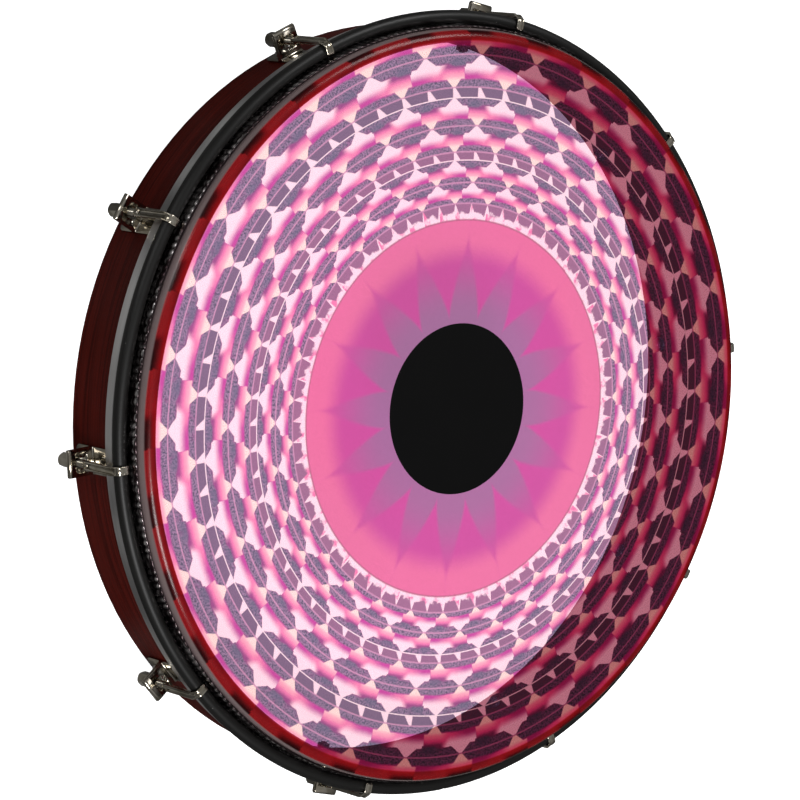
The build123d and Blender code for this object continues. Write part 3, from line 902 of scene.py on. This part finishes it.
def thread_mesh(radius, bottom, top, pitch, depth, axis_x, steps=24, plain_above=None):
    """Upright screw thread with a chamfered foot; above plain_above the rod is smooth."""
    rows = []
    levels = max(2, math.ceil((top - bottom) / (pitch / 6)))
    for k in range(levels + 1):
        height = bottom + (top - bottom) * k / levels
        taper = min(1.0, (height - bottom) / (0.5 * MM) + 0.55)
        row = []
        for i in range(steps):
            share = i / steps
            wave = abs(((height / pitch - share) % 1.0) * 2 - 1)
            cut_depth = depth * wave
            if plain_above is not None and height > plain_above:
                cut_depth = 0.0
            here = min(radius - cut_depth, radius * taper)
            angle = math.tau * share
            row.append(Vector((axis_x + here * math.cos(angle), here * math.sin(angle), height)))
        rows.append(row)
    return grid_mesh(rows, closed_rows=False, caps=True)


ROD_RADIUS = 2.5 * MM
ROD_TOP = 33.2 * MM
THREAD_END = 30.2 * MM


def make_rod():
    return thread_mesh(ROD_RADIUS, hook_low.z, ROD_TOP, PITCH, THREAD_DEPTH, ROD_R, plain_above=THREAD_END)


def hexagon_radius(angle, flats):
    """Radius of a hexagon with slightly rounded corners."""
    off = (angle + math.pi / 6) % (math.pi / 3) - math.pi / 6
    return min(flats / 2 / math.cos(off), flats / 2 * 1.135)


def hexagon_piece(flats, levels, axis_x, bore=None, steps=96):
    """Hexagon nut about an upright axis: levels are (height, turned radius) from bottom to top."""
    rows = []
    for height, limit in levels:
        row = []
        for i in range(steps):
            angle = math.tau * i / steps
            radius = min(hexagon_radius(angle, flats), limit)
            row.append(Vector((axis_x + radius * math.cos(angle), radius * math.sin(angle), height)))
        rows.append(row)
    if bore:
        bore_r, floor = bore
        for height in (levels[-1][0], floor):
            row = []
            for i in range(steps):
                angle = math.tau * i / steps
                row.append(Vector((axis_x + bore_r * math.cos(angle), bore_r * math.sin(angle), height)))
            rows.append(row)
    return grid_mesh(rows, closed_rows=False, caps=True)


NUT_FLATS = 8.0 * MM
NUT_CHAMFER = 0.9 * MM
DOME_R = 3.2 * MM
DOME_TIP_R = 0.9 * MM          # flat at the dome's end
DOME_DEPTH = 1.6 * MM
HEXAGON_START = 6.5 * MM       # height where the dome ends and the hexagon begins


def make_tension_nut():
    """Long hexagon nut with a domed end."""
    corner = NUT_FLATS / math.sqrt(3)
    flat_r = NUT_FLATS / 2 - 0.1 * MM
    levels = []
    for k in range(7):
        angle = math.pi / 2 * k / 6
        levels.append((nut_low.z + DOME_DEPTH * (1 - math.cos(angle)),
                       DOME_TIP_R + (DOME_R - DOME_TIP_R) * math.sin(angle)))
    levels.append((HEXAGON_START - 0.05 * MM, DOME_R))
    levels.append((HEXAGON_START, flat_r))
    for k in range(1, 5):
        levels.append((HEXAGON_START + NUT_CHAMFER * k / 4, flat_r + (corner - flat_r) * k / 4))
    for k in range(5):
        levels.append((nut_high.z - NUT_CHAMFER * (1 - k / 4), corner - (corner - flat_r) * k / 4))
    return hexagon_piece(NUT_FLATS, levels, ROD_R, bore=(2.55 * MM, HEXAGON_START))


def make_washer(radius, hole, bottom, top, axis_x):
    """Flat washer with rounded edges about an upright axis."""
    edge = 0.2 * MM
    outline = rounded_outline([(hole, bottom), (radius, bottom), (radius, top), (hole, top)],
                              [0.05 * MM, edge, edge, 0.05 * MM], 3)
    rows = []
    for i in range(64):
        angle = math.tau * i / 64
        rows.append([Vector((axis_x + r * math.cos(angle), r * math.sin(angle), z)) for r, z in outline])
    return grid_mesh(rows)


def lay_along_radius(mesh, height):
    """Turns a piece made about the world's upright axis so that it points outwards at a height."""
    bmesh.ops.rotate(mesh, verts=mesh.verts, cent=(0, 0, 0), matrix=Matrix.Rotation(math.pi / 2, 3, "Y"))
    bmesh.ops.translate(mesh, verts=mesh.verts, vec=(0, 0, height))
    return mesh


SCREW_Z = 12.8 * MM
WALL = 7.5 * MM
INNER_WASHER = 0.8 * MM
LOCK_NUT = 3.2 * MM
LOCK_FLATS = 7.0 * MM
LOCK_CHAMFER = 0.5 * MM
SCREW_HEAD = 2.4 * MM
SCREW_ROUND = 1.5 * MM
SCREW_STEPS = 48
SOCKET_FLATS = 3.0 * MM
SOCKET_DEPTH = 1.2 * MM
SCREW_PITCH = 0.7 * MM
SCREW_THREAD = 0.3 * MM


def make_mounting_screw():
    """Pan head with a hexagon socket, and a threaded shank."""
    seat = SHELL_R + SHEET
    top = seat + SCREW_HEAD
    tail = SHELL_R - WALL - INNER_WASHER - LOCK_NUT - 1.0 * MM
    angles = [math.tau * i / SCREW_STEPS for i in range(SCREW_STEPS)]
    outline = [(2.0 * MM, seat), (3.55 * MM, seat), (3.75 * MM, seat + 0.25 * MM)]
    for k in range(7):
        angle = math.pi / 2 * k / 6
        outline.append((2.25 * MM + SCREW_ROUND * math.cos(angle),
                        top - SCREW_ROUND + SCREW_ROUND * math.sin(angle)))
    rows = [[polar(radius, angle, height) for angle in angles] for radius, height in outline]
    for height in (top, top - SOCKET_DEPTH):
        rows.append([polar(hexagon_radius(angle, SOCKET_FLATS), angle, height) for angle in angles])
    head = grid_mesh(rows, closed_rows=False, caps=True)
    shank = thread_mesh(2.0 * MM, tail, seat + 0.1 * MM, SCREW_PITCH, SCREW_THREAD, 0.0, 20)
    return lay_along_radius(join_meshes([head, shank]), SCREW_Z)


def make_inner_washer():
    start = SHELL_R - WALL - INNER_WASHER
    return lay_along_radius(make_washer(4.5 * MM, 2.2 * MM, start, start + 0.75 * MM, 0.0), SCREW_Z)


def make_lock_nut():
    start = SHELL_R - WALL - INNER_WASHER - LOCK_NUT
    corner = LOCK_FLATS / math.sqrt(3)
    flat_r = LOCK_FLATS / 2 - 0.1 * MM
    levels = [(start, 2.05 * MM), (start, flat_r), (start + LOCK_CHAMFER, corner),
              (start + LOCK_NUT - LOCK_CHAMFER, corner), (start + LOCK_NUT, flat_r)]
    return lay_along_radius(hexagon_piece(LOCK_FLATS, levels, 0.0), SCREW_Z)


def copies(make):
    """One mesh with a copy of a lug's part at every lug."""
    return join_meshes([turned_to(make(), angle) for angle in LUG_ANGLES])


def make_lugs():
    nickel, zinc = materials["nickel"], materials["zinc"]
    bracket = make_bracket()
    master = bpy.data.meshes.new("bracket_master")
    bracket.to_mesh(master)
    bracket.free()
    for name, angle in zip(LUG_NAMES, LUG_ANGLES):
        copy = bmesh.new()
        copy.from_mesh(master)
        new_piece("bracket_" + name, turned_to(copy, angle), nickel, "drum_shell",
                  "lug_bracket_" + name)
        new_piece("hook_arm_" + name, turned_to(make_arm(), angle), nickel, "tension_hoop",
                  "tension_hook_" + name)
        new_piece("threaded_rod_" + name, turned_to(make_rod(), angle), nickel, "tension_hoop")
        new_piece("long_nut_" + name, turned_to(make_tension_nut(), angle), nickel, "nut_" + name,
                  "tension_nut_" + name)
    washers = copies(lambda: make_washer(5.0 * MM, 2.8 * MM, washer_low.z, washer_high.z, ROD_R))
    for name, mesh, node in (("nut_washer_set", washers, "nut_washers"),
                             ("screw_set", copies(make_mounting_screw), "mounting_screws"),
                             ("inner_washer_set", copies(make_inner_washer), "inner_washers"),
                             ("lock_nut_set", copies(make_lock_nut), "lock_nuts")):
        new_piece(name, mesh, zinc, "drum_shell", node)


make_film()
make_dot()
make_flesh_hoop()
make_counter_hoop()
make_edge_cover()
make_lugs()

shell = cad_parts["shell"]
shell.data.materials.clear()
shell.data.materials.append(materials["wood"])


# ================================================================ floor, light and camera
FLOOR_HALF = 6.0
FLOOR_GLOW = 0.05              # on every ray
CAMERA_GLOW = 0.95             # added where the camera sees the floor itself


def make_floor():
    """Pale floor: white to the camera, darker where gloss mirrors it, and seen through from below."""
    graph = Graph("floor_pale")
    x, y, _ = graph.place()
    flat = graph.vector(x, y, 0.0)
    mottle = graph.noise(flat, 3.0, 3.0)
    colour = graph.mix(mottle, (0.86, 0.86, 0.86), (0.90, 0.90, 0.90))
    mirrored = graph.noise(flat, 9.0, 2.0)
    tone = graph.mix(graph.smooth(mirrored, 0.45, 0.60), (0.01, 0.01, 0.009), (0.22, 0.22, 0.21))
    seen = graph.tree.nodes.new("ShaderNodeLightPath")
    dimmed = graph.mix(Value(graph, seen.outputs["Is Glossy Ray"]), colour, tone)
    glow = Value(graph, seen.outputs["Is Camera Ray"]) * CAMERA_GLOW + FLOOR_GLOW
    shader = graph.node("BsdfPrincipled", Base_Color=dimmed, Roughness=0.7, Emission_Color=(1.0, 1.0, 1.0),
                        Emission_Strength=glow)
    shader.inputs["Specular IOR Level"].default_value = 0.1
    clear = graph.node("BsdfTransparent")
    below = graph.tree.nodes.new("ShaderNodeNewGeometry")
    mixed = graph.node("MixShader", Fac=below.outputs["Backfacing"])
    graph.tree.links.new(shader.outputs[0], mixed.inputs[1])
    graph.tree.links.new(clear.outputs[0], mixed.inputs[2])
    material = graph.surface(mixed.outputs[0])
    data = bpy.data.meshes.new("floor")
    corners = [(x * FLOOR_HALF, y * FLOOR_HALF, 0) for x, y in ((-1, -1), (1, -1), (1, 1), (-1, 1))]
    data.from_pydata(corners, [], [(0, 1, 2, 3)])
    floor = bpy.data.objects.new("floor", data)
    bpy.context.scene.collection.objects.link(floor)
    data.materials.append(material)


def make_light(name, place, size, power, colour=(1.0, 1.0, 1.0)):
    light = bpy.data.lights.new(name, "AREA")
    light.shape = "RECTANGLE"
    light.size, light.size_y = size
    light.energy = power
    light.color = colour
    lamp = bpy.data.objects.new(name, light)
    bpy.context.scene.collection.objects.link(lamp)
    lamp.location = place
    lamp.rotation_mode = "QUATERNION"
    lamp.rotation_quaternion = (Vector((0, 0, 0.05)) - Vector(place)).to_track_quat("-Z", "Y")


def make_world():
    world = bpy.data.worlds.new("studio")
    bpy.context.scene.world = world
    world.use_nodes = True
    tree = world.node_tree
    background = tree.nodes["Background"]
    coordinate = tree.nodes.new("ShaderNodeTexCoord")
    parts = tree.nodes.new("ShaderNodeSeparateXYZ")
    ramp = tree.nodes.new("ShaderNodeValToRGB")
    tree.links.new(coordinate.outputs["Generated"], parts.inputs[0])
    tree.links.new(parts.outputs["Z"], ramp.inputs[0])
    ramp.color_ramp.elements[0].color = (0.05, 0.05, 0.05, 1)
    ramp.color_ramp.elements[1].color = (0.34, 0.34, 0.34, 1)
    seen = tree.nodes.new("ShaderNodeLightPath")
    pale = tree.nodes.new("ShaderNodeMix")
    pale.data_type = "RGBA"
    tree.links.new(seen.outputs["Is Camera Ray"], pale.inputs[0])
    tree.links.new(ramp.outputs[0], pale.inputs[6])
    pale.inputs[7].default_value = (0.90, 0.90, 0.90, 1)
    tree.links.new(pale.outputs[2], background.inputs["Color"])


def make_camera():
    turn, drop = math.radians(AXIS_TURN), math.radians(AXIS_DROP)
    axis = Vector((math.sin(turn) * math.cos(drop), -math.sin(drop), math.cos(turn) * math.cos(drop)))
    lean = math.radians(FIRST_LUG_LEAN)
    upright = Vector((math.sin(lean), math.cos(lean), 0))
    up = (upright - axis * upright.dot(axis)).normalized()
    side = up.cross(axis)
    phase = math.radians(LUG_TURN)
    y_seen = up * math.cos(phase) + side * math.sin(phase)
    x_seen = side * math.cos(phase) - up * math.sin(phase)
    to_view = Matrix((x_seen, y_seen, axis)).transposed()
    to_world = to_view.transposed()
    data = bpy.data.cameras.new("camera")
    data.lens = LENS
    data.sensor_width = 36.0
    camera = bpy.data.objects.new("camera", data)
    bpy.context.scene.collection.objects.link(camera)
    head = Vector((0, 0, HEAD_Z))
    camera.matrix_world = Matrix.Translation(head - to_world @ HEAD_IN_VIEW) @ to_world.to_4x4()
    bpy.context.scene.camera = camera


make_floor()
make_world()
make_light("key", (-0.9, -1.5, 2.4), (1.0, 0.8), 62)
make_light("fill", (0.7, 1.9, 1.7), (1.2, 0.8), 26)
make_light("edge", (-2.2, 0.9, 0.9), (0.5, 1.4), 9)
make_camera()

view = bpy.context.scene.view_settings
view.view_transform = "Standard"
view.look = "None"
